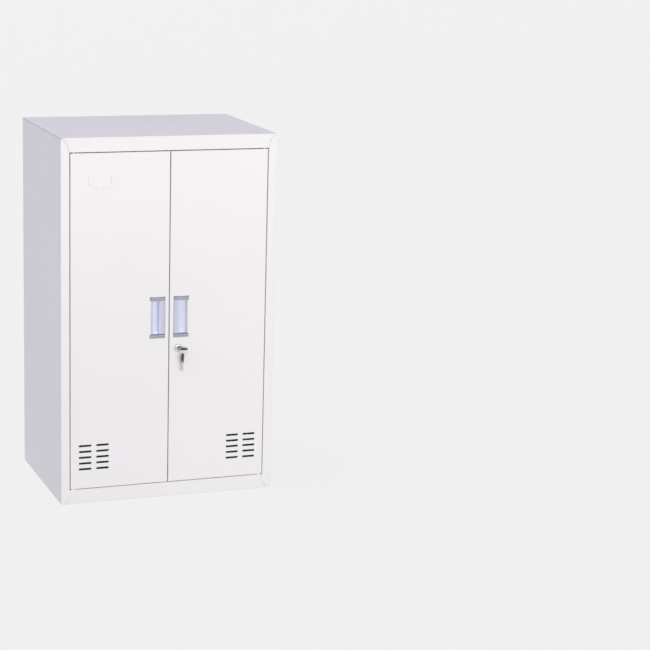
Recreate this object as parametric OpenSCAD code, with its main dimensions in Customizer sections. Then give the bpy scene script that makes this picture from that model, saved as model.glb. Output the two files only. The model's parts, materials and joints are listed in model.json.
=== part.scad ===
// Two-door sheet-steel tool cabinet with three lift-out shelves, flush pull handles
// and a cam lock. X is the width, the doors face -Y, Z is up. The origin is on the
// floor, in the middle of the carcass footprint.

/* [Cabinet] */
// Width of the carcass over the side panels
cabinet_w = 600; // [520:10:800]
// Depth of the carcass from the door face to the back panel
cabinet_d = 450; // [400:10:600]
// Height of the carcass from the floor
cabinet_h = 1000; // [900:10:1200]
// Thickness of the steel sheet
sheet = 1; // [0.8:0.1:1.2]
// Width of the frame stile seen beside each door
stile_w = 23.5; // [20:0.5:30]
// Height of the frame rail seen above and below the doors
rail_h = 38.7; // [34:0.1:45]
// Height of the compartment floor above the bottom rail's ledge
floor_step = 8.3; // [6:0.1:12]
// Depth that the door-stop lip hangs below the top rail
stop_lip = 15.3; // [10:0.1:20]

/* [Doors] */
// Gap around and between the doors
door_gap = 2.4; // [2:0.1:3]
// Thickness of the door pans
door_t = 20; // [18:0.5:22]
// Width of the return lips on the back of a door
door_lip = 10; // [9:0.5:11]
// Distance of the hinge axis from the door's hinge edge
pivot_in = 9.5; // [9:0.1:10]
// Distance of the hinge axis behind the door's face
pivot_back = 5.5; // [5:0.1:5.6]
// Travel of a sprung hinge pin
pin_travel = 9; // [8:0.5:10]

/* [Shelves] */
// Height of the shelf edges
shelf_edge = 20; // [16:1:25]
// Distance from the top of one shelf to the next
shelf_pitch = 233.5; // [180:0.5:260]
// Height of the lowest shelf's top above the floor
shelf_first = 275.5; // [240:0.5:320]

/* [Handles and lock] */
// Height of the middle of the pull handles
handle_z = 506.4; // [460:0.1:540]
// Height of the pull handles
handle_h = 115.8; // [110:0.1:125]
// Width of the pull handles
handle_w = 43; // [41:0.5:44]
// Distance of the handles from the cabinet's middle
handle_x = 11.6; // [11.4:0.1:13]
// Distance of the lock's axis from the cabinet's middle
lock_x = 26.5; // [26:0.1:30]
// Height of the lock's axis
lock_z = 419; // [405:0.5:425]

/* [Vents and card holder] */
// Number of slots in a vent column
vent_rows = 5; // [3:1:6]
// Distance between the rows of slots
vent_pitch = 16.3; // [13:0.1:18]
// Length of a slot
vent_len = 34.5; // [30:0.5:38]
// Height of a slot
vent_h = 5.6; // [4:0.1:6.5]
// Height of the lowest row of slots
vent_z = 95.5; // [90:0.5:110]
// Distance of the outer column from the cabinet's middle, to the slots' middle
vent_x = 233.6; // [220:0.1:235]
// Distance between the two columns
vent_step = 48.4; // [44:0.1:52]
// Middle of the card holder, sideways
card_x = -189.8; // [-195:0.1:-185]
// Middle of the card holder, upwards
card_z = 888.3; // [880:0.1:895]

/* [Hidden] */
$fn = 48;

hw = cabinet_w / 2;              // half width
yf = -cabinet_d / 2;             // front face
yb = cabinet_d / 2;              // back face
t = sheet;
open_x = hw - stile_w;           // half width of the door opening
open_z0 = rail_h;                // bottom of the door opening
open_z1 = cabinet_h - rail_h;    // top of the door opening
recess = door_t + 4.2;           // depth of the frame around the doors, clear of their swing
y_stop = yf + recess;            // back of the frame, where the stops stand
floor_z = rail_h + floor_step;   // top of the compartment floor
lid_gap = 1.2;                   // shadow gap between side panel and lid
side_top = cabinet_h - t - lid_gap;
door_x0 = door_gap / 2;          // free edge of a door
door_x1 = open_x - door_gap;     // hinge edge of a door
door_z0 = open_z0 + door_gap;
door_z1 = open_z1 - door_gap;
y_lip = yf + door_t;             // back of the door's lips
px = door_x1 - pivot_in;         // hinge axis
py = yf + pivot_back;
pin_r = 2.5;
bush_r = 4;
ear_t = 1.5;
top_ear = door_z1 - t - 0.1;     // top of the hinge bracket's upper ear
low_ear = top_ear - 33;          // underside of its lower ear
bumper_t = y_stop - t - y_lip - 0.05;
shelf_y0 = y_stop + 3;           // front edge of a shelf
shelf_y1 = yb - 6;
shelf_x = hw - t - 2;
notch_x = open_x - 8;
notch_y = 20;
hz0 = handle_z - handle_h / 2;
hz1 = handle_z + handle_h / 2;
cap_h = 12;
screw_r = 2;
// the curved seams between stile and rail at the four frame corners
low_seam = [hw + 20, 37, 46];
high_seam = [hw + 20, cabinet_h - 36, 41.5];
seam_gap = 0.5;
// keys: the folded head, its slot, the split ring and the spare
key_y = yf - 17;                 // pivot of the folding head
head_t = 5;
hole_x = 17;                     // ring hole in a head, from its pivot
hole_r = 3.5;
ring_r = 11;
ring_wire = 0.7;
ring_drop = 6.9;                 // ring's centre below the head it hangs from
ring_dir = 136;
ring_half = sqrt(ring_r * ring_r - ring_drop * ring_drop);
ring_in = ring_half - 0.95;      // from the hole's axis to the ring's centre line
ring_mid = [lock_x + hole_x + ring_in * cos(ring_dir), key_y + ring_in * sin(ring_dir)];
ring_z = lock_z - ring_drop;
slide_a = 12;                    // how far along the ring the spare hangs
spare_p = [ring_mid[0] + cos(ring_dir) * ring_r * sin(slide_a),
    ring_mid[1] + sin(ring_dir) * ring_r * sin(slide_a),
    ring_z - ring_r * cos(slide_a)];
spare_yaw = -32;
back_screw_z = [60, 280, 500, 720, 940];
mid_screw_x = [-200, 0, 200];

paint = [0.91, 0.905, 0.90];
paint_in = [0.86, 0.86, 0.86];

module slab(a, b) translate(a) cube(b - a);
module both() { children(); mirror([1, 0, 0]) children(); }
// a flat shape drawn in X and Z, standing in the plane y0..y1
module upright(y0, y1) translate([0, y1, 0]) rotate([90, 0, 0]) linear_extrude(y1 - y0) children();
module rod(p, r, l) translate(p) cylinder(r = r, h = l);
// a round bar along Y
module rod_y(x, z, r, y0, y1) translate([x, y0, z]) rotate([-90, 0, 0]) cylinder(r = r, h = y1 - y0);

// ---------------------------------------------------------------- carcass

module stile_face() {
    translate([open_x, open_z0]) square([stile_w, open_z1 - open_z0]);
    intersection() {
        translate([open_x - 20, 0]) square([stile_w + 20, open_z0 + 0.01]);
        translate([low_seam[0], low_seam[1]]) circle(r = low_seam[2], $fn = 96);
    }
    intersection() {
        translate([open_x - 20, open_z1 - 0.01]) square([stile_w + 20, side_top - open_z1 + 0.01]);
        translate([high_seam[0], high_seam[1]]) circle(r = high_seam[2], $fn = 96);
    }
}

module side_panel() {
    difference() {
        union() {
            // outer sheet
            slab([hw - t, yf, 0], [hw, yb - t - 0.1, side_top]);
            // stile: face, return and inner lip
            upright(yf, yf + t) stile_face();
            slab([open_x, yf, open_z0 + t], [open_x + t, y_stop, open_z1 - t]);
            slab([open_x, y_stop - t, open_z0 + t], [open_x + 11.5, y_stop, open_z1 - t]);
            // rear flange and top flange
            slab([hw - 15, yb - 2 * t - 0.1, 1], [hw, yb - t - 0.1, side_top]);
            slab([hw - 16, y_stop + 2, side_top - t], [hw, yb - 2 * t - 0.1, side_top]);
        }
        for (z = back_screw_z) rod_y(hw - 8, z, screw_r + 0.1, yb - 4, yb);
    }
}

module rail_face_low() difference() {
    translate([-hw, 0]) square([cabinet_w, rail_h]);
    both() translate([low_seam[0], low_seam[1]]) circle(r = low_seam[2] + seam_gap, $fn = 96);
}

module rail_face_high() difference() {
    translate([-hw, open_z1]) square([cabinet_w, rail_h]);
    both() translate([high_seam[0], high_seam[1]]) circle(r = high_seam[2] + seam_gap, $fn = 96);
}

module top_panel() color(paint) difference() {
    union() {
        slab([-hw, yf, cabinet_h - t], [hw, yb, cabinet_h]);
        upright(yf, yf + t) rail_face_high();
        slab([-hw + t + 0.5, yf, open_z1], [hw - t - 0.5, y_stop, open_z1 + t]);
        slab([-open_x + 0.5, y_stop - t, open_z1 - stop_lip], [open_x - 0.5, y_stop, open_z1 + t]);
        slab([-hw + 17, yb - 2 * t - 0.1, cabinet_h - 20], [hw - 17, yb - t - 0.1, cabinet_h]);
    }
    // the ledge stops short of the curved ends of the rail face
    both() slab([low_seam[0] - high_seam[2] - seam_gap, yf - 1, open_z1 - 1], [hw + 1, yf + t, open_z1 + t + 0.01]);
    both() rod([px, py, open_z1 - 1], bush_r + 0.05, t + 2);
    for (x = mid_screw_x) rod_y(x, cabinet_h - 12, screw_r + 0.1, yb - 4, yb);
}

module bottom_panel() color(paint) difference() {
    union() {
        upright(yf, yf + t) rail_face_low();
        // ledge, step and floor
        slab([-hw + t + 0.5, yf + t, open_z0 - t], [hw - t - 0.5, y_stop, open_z0]);
        slab([-open_x + 3, yf, open_z0 - t], [open_x - 3, yf + t, open_z0]);
        slab([-open_x + 0.5, y_stop - t, open_z0 - t], [open_x - 0.5, y_stop, floor_z]);
        slab([-open_x + 0.5, y_stop - t, floor_z - t], [open_x - 0.5, y_stop + 1, floor_z]);
        slab([-hw + t + 0.5, y_stop + 0.5, floor_z - t], [hw - t - 0.5, yb - 3, floor_z]);
        // outer flanges down to the floor
        both() slab([hw - 2 * t - 0.5, yf + t + 0.2, 0], [hw - t - 0.5, yb - 3, open_z0]);
        both() slab([hw - 2 * t - 0.5, y_stop + 0.5, 0], [hw - t - 0.5, yb - 3, floor_z]);
        slab([-hw + t + 0.5, yb - 3 - t, 0], [hw - t - 0.5, yb - 3, floor_z]);
        // the foot lips, one flat ring on the floor
        slab([-hw + t + 0.5, yf + t + 0.2, 0], [hw - t - 0.5, yf + 17, t]);
        slab([-hw + 12, yf, 0], [hw - 12, yf + t + 0.3, t]);
        both() slab([hw - 17, yf + t + 0.2, 0], [hw - t - 0.5, yb - 3, t]);
        slab([-hw + t + 0.5, yb - 18, 0], [hw - t - 0.5, yb - 3, t]);
    }
    both() rod([px, py, open_z0 - t - 1], pin_r + 0.02, t + 2);
    for (x = mid_screw_x) rod_y(x, 25, screw_r + 0.1, yb - 5, yb);
}

module back_panel() color(paint) difference() {
    slab([-hw + 0.5, yb - t, 1.5], [hw - 0.5, yb, side_top + 0.4]);
    both() for (z = back_screw_z) rod_y(hw - 8, z, screw_r + 0.1, yb - 4, yb + 1);
    for (x = mid_screw_x) {
        rod_y(x, cabinet_h - 12, screw_r + 0.1, yb - 4, yb + 1);
        rod_y(x, 25, screw_r + 0.1, yb - 5, yb + 1);
    }
}

module pan_screw(x, z, l) difference() {
    union() {
        translate([x, yb, z]) rotate([-90, 0, 0]) rotate_extrude($fn = 32)
            polygon([[0, 0], [4, 0], [4, 1], [3.4, 1.8], [2.2, 2.2], [0, 2.3]]);
        rod_y(x, z, screw_r, yb - l, yb + 0.5);
    }
    translate([x - 1.9, yb + 1.1, z - 0.35]) cube([3.8, 3, 0.7]);
    translate([x - 0.35, yb + 1.1, z - 1.9]) cube([0.7, 3, 3.8]);
}

module panel_screws() color([0.75, 0.75, 0.76]) {
    both() for (z = back_screw_z) pan_screw(hw - 8, z, 6);
    for (x = mid_screw_x) {
        pan_screw(x, cabinet_h - 12, 6);
        pan_screw(x, 25, 8);
    }
}

module shelf_bracket(y, z) {
    slab([hw - t - 18, y, z - shelf_edge - 1.2], [hw - t, y + 30, z - shelf_edge]);
    slab([hw - t - 1.2, y, z - shelf_edge - 24], [hw - t, y + 30, z - shelf_edge]);
}

module shelf_brackets() color([0.85, 0.85, 0.85]) both()
    for (i = [0:2]) for (y = [yf + 60, yb - 60])
        shelf_bracket(y, shelf_first + i * shelf_pitch);

module door_bumpers() color([0.95, 0.95, 0.95]) both() {
    for (z = [open_z0 + 4.15, open_z1 - 8]) translate([20, y_stop - t, z]) rotate([90, 0, 0])
        rotate_extrude() polygon([[0, 0], [4, 0], [4, bumper_t - 0.8], [3, bumper_t - 0.1], [0, bumper_t]]);
}

module hinge_pin_bushes() color([0.93, 0.93, 0.9]) both() difference() {
    union() {
        rod([px, py, open_z1], bush_r, 5);
        rod([px, py, open_z1 - 0.8], bush_r + 0.8, 0.8);
    }
    rod([px, py, open_z1 - 2], pin_r + 0.05, 9);
}

module bottom_pivot() color([0.7, 0.7, 0.72]) {
    rod([px, py, open_z0 - t - 1.5], pin_r, 16.5);
    rod([px, py, open_z0 - t - 1.5], pin_r + 1.3, 1.5);
}

module left_bottom_pivot() mirror([1, 0, 0]) bottom_pivot();
module right_bottom_pivot() bottom_pivot();

module pivot_washers() color([0.93, 0.93, 0.9]) both() difference() {
    rod([px, py, open_z0], 4.9, 1.2);
    rod([px, py, open_z0 - 1], pin_r + 0.05, 4);
}

// ---------------------------------------------------------------- shelves

module shelf_outline(inset) {
    x = shelf_x - inset;
    nx = notch_x - inset;
    polygon([[-nx, shelf_y0 + inset], [nx, shelf_y0 + inset], [nx, shelf_y0 + notch_y + inset],
        [x, shelf_y0 + notch_y + inset], [x, shelf_y1 - inset], [-x, shelf_y1 - inset],
        [-x, shelf_y0 + notch_y + inset], [-nx, shelf_y0 + notch_y + inset]]);
}

module shelf(z) color(paint_in) {
    difference() {
        translate([0, 0, z - shelf_edge]) linear_extrude(shelf_edge) shelf_outline(0);
        translate([0, 0, z - shelf_edge - 1]) linear_extrude(shelf_edge + 1 - t) shelf_outline(t);
    }
    // return lip under the front edge
    slab([-notch_x + t, shelf_y0, z - shelf_edge], [notch_x - t, shelf_y0 + 13, z - shelf_edge + t]);
}

module lower_shelf() shelf(shelf_first);
module middle_shelf() shelf(shelf_first + shelf_pitch);
module upper_shelf() shelf(shelf_first + 2 * shelf_pitch);

// ---------------------------------------------------------------- doors

module vents() for (c = [0, 1]) for (r = [0:vent_rows - 1])
    translate([vent_x - c * vent_step, yf - 1, vent_z + r * vent_pitch]) {
        translate([-vent_len / 2 + 1.2, 0, -vent_h / 2]) cube([vent_len - 2.4, t + 2, vent_h]);
        translate([-vent_len / 2, 0, -vent_h / 2 + 1.2]) cube([vent_len, t + 2, vent_h - 2.4]);
        for (sx = [-1, 1]) for (sz = [-1, 1])
            rod_y(sx * (vent_len / 2 - 1.2), sz * (vent_h / 2 - 1.2), 1.2, 0, t + 2);
    }

module door_pan() {
    difference() {
        slab([door_x0, yf, door_z0], [door_x1, y_lip, door_z1]);
        slab([door_x0 + t, yf + t, door_z0 + t], [door_x1 - t, y_lip - t, door_z1 - t]);
        slab([door_x0 + door_lip, yf + t, door_z0 + door_lip + 2], [door_x1 - door_lip, y_lip + 1, door_z1 - door_lip - 2]);
        vents();
        // cut-out for the handle
        slab([handle_x + 1.7, yf - 1, hz0 + 4], [handle_x + handle_w - 3.9, yf + t + 1, hz1 - 4]);
        // hinge pin hole above, pivot bush hole below
        rod([px, py, door_z1 - t - 1], 3.2, t + 2);
        rod([px, py, door_z0 - 1], bush_r + 0.05, t + 2);
    }
}

module lock_hole() rod_y(lock_x, lock_z, 8.15, yf - 1, yf + t + 1);

// pressed holder for a card: a shallow recess with two side tabs and two tabs
// below, each joined to the skin along its outer edge and open behind the rest
module card_tab(flat, root) {
    upright(yf - 1.5, yf - 0.6) polygon(flat);
    upright(yf - 0.7, yf + 0.2) polygon(root);
}
module card_side() card_tab([[35.6, -17], [26.6, -10], [26.6, 8], [35.6, 15]],
    [[35.6, -17], [34.3, -16], [34.3, 14], [35.6, 15]]);
module card_foot(x0, x1, s) card_tab([[x0, -22.9], [x0, -22], [x0 + s, -15.8], [x1, -15.8], [x1 + 1.6, -17.5], [x1 + 1.6, -22.9]],
    [[x0, -22.9], [x0, -22], [x0 + 0.3, -21.4], [x1 + 1.6, -21.4], [x1 + 1.6, -22.9]]);

module left_door_panel() color(paint) union() {
    difference() {
        mirror([1, 0, 0]) door_pan();
        translate([card_x, 0, card_z]) upright(yf - 1, yf + 0.35)
            polygon([[-29, 22], [29, 22], [34.8, 15], [34.8, -22], [-34.8, -22], [-34.8, 15]]);
    }
    translate([card_x, 0, card_z]) {
        card_side();
        mirror([1, 0, 0]) card_side();
        card_foot(-24.1, -4.6, 3.5);
        card_foot(1.9, 19.8, 6.2);
    }
}

module right_door_panel() color(paint) difference() {
    door_pan();
    lock_hole();
}

// hat section welded up the back of the door skin
module stiffener() color(paint) {
    a = door_x1 - 125;
    b = door_x1 - 183;
    y0 = yf + t;
    y1 = y_lip - t - 0.3;
    translate([0, 0, door_z0 + t + 0.5]) linear_extrude(door_z1 - door_z0 - 2 * t - 1)
        polygon([[a + 12, y0], [a + 12, y0 + t], [a + 0.5, y0 + t], [a, y1], [b, y1], [b - 12, y0 + t],
            [b - 25, y0 + t], [b - 25, y0], [b - 11.3, y0], [b + 0.6, y1 - t], [a - 1, y1 - t], [a - 0.5, y0]]);
}

module left_door_stiffener() mirror([1, 0, 0]) stiffener();
module right_door_stiffener() stiffener();

module top_hinge_bracket() color([0.8, 0.8, 0.81]) difference() {
    union() {
        slab([px - 25, yf + t, top_ear - ear_t], [px + 7, y_lip - t - 0.2, top_ear]);
        slab([px - 25, yf + t, low_ear], [px + 7, y_lip - t - 0.2, low_ear + ear_t]);
        slab([px - 25, y_lip - t - 0.2 - ear_t, low_ear], [px - 4.2, y_lip - t - 0.2, top_ear]);
    }
    rod([px, py, low_ear - 5], pin_r + 0.05, 60);
}

module left_top_hinge_bracket() mirror([1, 0, 0]) top_hinge_bracket();
module right_top_hinge_bracket() top_hinge_bracket();

module bottom_hinge_bracket() color([0.8, 0.8, 0.81]) difference() {
    union() {
        slab([px - 25, yf + t, door_z0 + t], [px + 7, y_lip - t - 0.2, door_z0 + t + ear_t]);
        slab([px - 25, y_lip - t - 0.2 - ear_t, door_z0 + t], [px - 4.2, y_lip - t - 0.2, door_z0 + t + 26]);
    }
    rod([px, py, door_z0], bush_r + 0.05, 10);
    for (z = [14, 20]) rod_y(px - 12 - z / 4, door_z0 + z, 1.6, y_lip - 6, y_lip);
}

module left_bottom_hinge_bracket() mirror([1, 0, 0]) bottom_hinge_bracket();
module right_bottom_hinge_bracket() bottom_hinge_bracket();

module pivot_bush() color([0.93, 0.93, 0.9]) difference() {
    union() {
        rod([px, py, door_z0 - 1.2], 4.9, 1.2);
        rod([px, py, door_z0 - 0.1], bush_r, 7);
    }
    rod([px, py, door_z0 - 2], pin_r + 0.05, 12);
}

module left_pivot_bush() mirror([1, 0, 0]) pivot_bush();
module right_pivot_bush() pivot_bush();

// sprung pin with a collar and a bent finger pull
module hinge_pin() color([0.66, 0.66, 0.68]) {
    z0 = low_ear - 9;
    rod([px, py, z0], pin_r, open_z1 + 6 - z0);
    rod([px, py, top_ear - ear_t - 2.05], 4.1, 2);
    translate([px, py, z0]) sphere(r = pin_r + 0.4);
    translate([px, py, z0]) rotate([0, 0, 143]) rotate([0, 90, 0]) rotate_extrude()
        polygon([[0, 0], [pin_r, 0], [pin_r, 17], [pin_r - 1, 18], [0, 18]]);
}

module left_hinge_pin() mirror([1, 0, 0]) hinge_pin();
module right_hinge_pin() hinge_pin();

// compression spring swept along its helix
function helix(r, z0, z1, turns, n) = [for (i = [0:n]) let (a = 360 * turns * i / n)
    [r * cos(a), r * sin(a), z0 + (z1 - z0) * i / n]];
module hinge_spring() color([0.6, 0.6, 0.62]) {
    wire = 0.5;
    r = 3.45;
    turns = 7;
    n = 7 * 14;
    sides = 8;
    path = helix(r, low_ear + ear_t + wire + 0.1, top_ear - ear_t - 2.2 - wire, turns, n);
    pts = [for (i = [0:n]) let (a = 360 * turns * i / n, c = path[i])
        for (k = [0:sides - 1]) let (b = 360 * k / sides)
            [px + c[0] + wire * cos(b) * cos(a), py + c[1] + wire * cos(b) * sin(a), c[2] + wire * sin(b)]];
    faces = concat(
        [for (i = [0:n - 1]) for (k = [0:sides - 1])
            let (a = i * sides + k, b = i * sides + (k + 1) % sides) [a, b, b + sides]],
        [for (i = [0:n - 1]) for (k = [0:sides - 1])
            let (a = i * sides + k, b = i * sides + (k + 1) % sides) [a, b + sides, a + sides]],
        [[for (k = [sides - 1:-1:0]) k]],
        [[for (k = [0:sides - 1]) n * sides + k]]);
    polyhedron(points = pts, faces = faces);
}

module left_hinge_spring() mirror([1, 0, 0]) hinge_spring();
module right_hinge_spring() hinge_spring();

// flush pull: a grip strip near the free edge, with a scoop that runs in behind it
module pull_handle() color([0.78, 0.80, 0.86]) {
    u = handle_x;
    w = handle_w;
    translate([0, 0, hz0 + cap_h]) linear_extrude(handle_h - 2 * cap_h)
        polygon([[u, yf], [u, yf - 1.2], [u + 1, yf - 1.8], [u + 9, yf - 1.9], [u + 13, yf - 1.6],
            [u + 15.8, yf - 0.8], [u + 17, yf + 0.6], [u + 16.6, yf + 1.8], [u + 13, yf + 2.4], [u + 8.5, yf + 3.4],
            [u + 6, yf + 5.6], [u + 5, yf + 10.5], [u + 6.5, yf + 13.2], [u + 10, yf + 14.6], [u + 15, yf + 14.8], [u + 20, yf + 13.6],
            [u + 25, yf + 11.2], [u + 30, yf + 8], [u + 34.5, yf + 4.2], [u + 37, yf + 1], [u + 38, yf - 1.5],
            [u + 39.2, yf - 1.7], [u + w - 3, yf - 1], [u + w - 3, yf],
            [u + w - 4.2, yf], [u + w - 4.2, yf + 2.5],
            [u + 36.2, yf + 5.6], [u + 31.4, yf + 9.7], [u + 26.2, yf + 13], [u + 20.8, yf + 15.5], [u + 15.2, yf + 16.8],
            [u + 9.4, yf + 16.6], [u + 5, yf + 14.8], [u + 3, yf + 11.4], [u + 3, yf]]);
    scoop_end();
    translate([0, 0, 2 * handle_z]) mirror([0, 0, 1]) scoop_end();
}

// sloping end wall of the scoop, at its lower end
module scoop_end() intersection() {
    u = handle_x;
    translate([0, 0, hz0 + cap_h]) linear_extrude(12)
        polygon([[u + 4, yf + 3.4], [u + 4, yf + 12], [u + 8, yf + 15.6], [u + 15.2, yf + 15.8], [u + 21, yf + 14.4],
            [u + 26, yf + 12], [u + 31, yf + 8.8], [u + 35.5, yf + 4.9], [u + 38, yf + 2], [u + 37.6, yf + 0.4], [u + 36.5, yf + 1.6],
            [u + 16, yf + 1.6], [u + 13, yf + 1.9], [u + 8.5, yf + 2.6]]);
    translate([handle_x, 0, hz0 + cap_h]) rotate([90, 0, 90]) linear_extrude(handle_w)
        polygon([[yf, -1], [yf + 2.9, 0], [yf + 16, 7.9], [yf + 16, -1]]);
}

module left_handle() mirror([1, 0, 0]) pull_handle();
module right_handle() pull_handle();

module handle_cap(s) {
    z0 = s > 0 ? hz1 - cap_h : hz0;
    // face plate, with a rounded outer end
    upright(yf - 2.2, yf) {
        translate([handle_x, z0 + (s > 0 ? 0 : 2)]) square([handle_w, cap_h - 2]);
        translate([handle_x + 2, z0]) square([handle_w - 4, cap_h]);
        for (x = [2, handle_w - 2]) translate([handle_x + x, s > 0 ? z0 + cap_h - 2 : z0 + 2]) circle(r = 2);
    }
    // boss that fills the end of the door's cut-out
    slab([handle_x + 3, yf - 0.1, s > 0 ? z0 + 0.01 : z0 + 5], [handle_x + handle_w - 4.2, yf + 15, s > 0 ? z0 + cap_h - 5 : z0 + cap_h - 0.01]);
}

module end_caps() color([0.52, 0.52, 0.58]) { handle_cap(1); handle_cap(-1); }
module left_handle_end_caps() mirror([1, 0, 0]) end_caps();
module right_handle_end_caps() end_caps();

// ---------------------------------------------------------------- lock and keys

module lock_body() color([0.85, 0.85, 0.87]) difference() {
    union() {
        translate([lock_x, yf, lock_z]) rotate([90, 0, 0]) rotate_extrude()
            polygon([[5.55, 0], [10.4, 0], [10.4, 0.8], [9.7, 2], [8.2, 2.8], [6.6, 3], [5.55, 2.6]]);
        intersection() {
            rod_y(lock_x, lock_z, 8, yf - 0.01, yf + 19);
            slab([lock_x - 9, yf - 1, lock_z - 7.2], [lock_x + 9, yf + 20, lock_z + 7.2]);
        }
    }
    rod_y(lock_x, lock_z, 5.55, yf - 5, yf + 25);
}

module lock_nut() color([0.72, 0.72, 0.74]) difference() {
    translate([lock_x, yf + t, lock_z]) rotate([-90, 0, 0]) rotate([0, 0, 30]) cylinder(r = 12.4, h = 3.5, $fn = 6);
    rod_y(lock_x, lock_z, 8.05, yf, yf + 8);
}

module lock_plug() color([0.8, 0.8, 0.82]) difference() {
    union() {
        rod_y(lock_x, lock_z, 5.5, yf - 2.4, yf + 20.2);
        slab([lock_x - 3, yf + 20, lock_z - 3], [lock_x + 3, yf + 22.9, lock_z + 3]);
    }
    slab([lock_x - 3.7, yf - 4, lock_z - 1.15], [lock_x + 3.7, yf + 14, lock_z + 1.15]);
    rod_y(lock_x, lock_z, 1.6, yf + 15, yf + 24);
}

// points down while unlocked
module lock_cam() color([0.7, 0.7, 0.72]) difference() {
    upright(yf + 20.4, yf + 22.4) translate([lock_x, lock_z]) {
        circle(r = 8);
        polygon([[-8, 0], [-6.5, -32], [-4, -36], [4, -36], [6.5, -32], [8, 0]]);
    }
    slab([lock_x - 3.05, yf + 19, lock_z - 3.05], [lock_x + 3.05, yf + 24, lock_z + 3.05]);
}

module cam_screw() color([0.75, 0.75, 0.76]) difference() {
    union() {
        rod_y(lock_x, lock_z, 1.55, yf + 16, yf + 23.2);
        rod_y(lock_x, lock_z, 6, yf + 23, yf + 23.8);
        rod_y(lock_x, lock_z, 3.6, yf + 23.8, yf + 26);
    }
    slab([lock_x - 2.4, yf + 25.2, lock_z - 0.4], [lock_x + 2.4, yf + 27, lock_z + 0.4]);
    slab([lock_x - 0.4, yf + 25.2, lock_z - 2.4], [lock_x + 0.4, yf + 27, lock_z + 2.4]);
}

// steel of a folding key: eye at the origin, shank along -Y of its own frame
module key_steel(l) difference() {
    translate([0, 0, -1]) linear_extrude(2) {
        circle(r = 3.9);
        polygon([[-3.5, 0], [-3.5, -l + 2], [-2, -l], [2, -l], [3.5, -l + 2], [3.5, -l + 5], [2.6, -l + 6.5],
            [3.5, -l + 8], [3.5, 0]]);
    }
    translate([0, 0, -2]) cylinder(r = 1.3, h = 4);
}

// plastic head: pivot at the origin, tip along +X, split for the steel eye
module key_plastic() difference() {
    union() {
        translate([0, 0, -head_t / 2]) cylinder(r = 5.2, h = head_t);
        translate([13.9, 0, -head_t / 2]) cylinder(r = 8.3, h = head_t);
        translate([0, 0, -head_t / 2]) linear_extrude(head_t)
            polygon([[0, 4.9], [12.4, 7.6], [12.4, -7.6], [0, -4.9]]);
    }
    translate([0, 0, -1.15]) cylinder(r = 7.6, h = 2.3);
    translate([0, 0, -10]) cylinder(r = 1.3, h = 20);
    translate([hole_x, 0, -10]) cylinder(r = hole_r, h = 20);
}
module key_pin() translate([0, 0, -head_t / 2 - 0.3]) cylinder(r = 1.25, h = head_t + 0.6);

module key_blade() color([0.78, 0.78, 0.76]) translate([lock_x, key_y, lock_z]) rotate([0, 0, 180]) key_steel(28);
module key_head() color([0.07, 0.07, 0.08]) translate([lock_x, key_y, lock_z]) key_plastic();
module key_rivet() color([0.6, 0.6, 0.6]) translate([lock_x, key_y, lock_z]) key_pin();

module key_ring() color([0.75, 0.75, 0.77]) translate([ring_mid[0], ring_mid[1], ring_z])
    rotate([0, 0, ring_dir]) rotate([90, 0, 0]) rotate_extrude($fn = 64) translate([ring_r, 0]) circle(r = ring_wire, $fn = 24);

// the spare hangs straight, head up, with its slot over the ring
module spare_place() translate([spare_p[0], spare_p[1], spare_p[2] - 1.1 - hole_x]) rotate([0, 0, spare_yaw]) rotate([0, 90, 0]) children();
module spare_key_head() color([0.07, 0.07, 0.08]) spare_place() rotate([0, 0, 180]) key_plastic();
module spare_key_rivet() color([0.6, 0.6, 0.6]) spare_place() key_pin();
module spare_key_blade() color([0.78, 0.78, 0.76]) spare_place() rotate([0, 0, 90]) key_steel(28);

module left_side_panel() color(paint) mirror([1, 0, 0]) side_panel();
module right_side_panel() color(paint) side_panel();

left_side_panel();
right_side_panel();
top_panel();
bottom_panel();
back_panel();
shelf_brackets();
panel_screws();
door_bumpers();
hinge_pin_bushes();
left_bottom_pivot();
right_bottom_pivot();
pivot_washers();
upper_shelf();
middle_shelf();
lower_shelf();
left_door_panel();
left_door_stiffener();
left_top_hinge_bracket();
left_bottom_hinge_bracket();
left_pivot_bush();
left_handle();
left_handle_end_caps();
left_hinge_spring();
left_hinge_pin();
right_door_panel();
right_door_stiffener();
right_top_hinge_bracket();
right_bottom_hinge_bracket();
right_pivot_bush();
right_handle();
right_handle_end_caps();
right_hinge_spring();
right_hinge_pin();
lock_body();
lock_nut();
lock_plug();
lock_cam();
cam_screw();
key_blade();
key_head();
key_rivet();
key_ring();
spare_key_head();
spare_key_blade();
spare_key_rivet();
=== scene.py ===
import json
import math
import bpy
import bmesh
import numpy as np
from mathutils import Matrix, Vector


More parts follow.
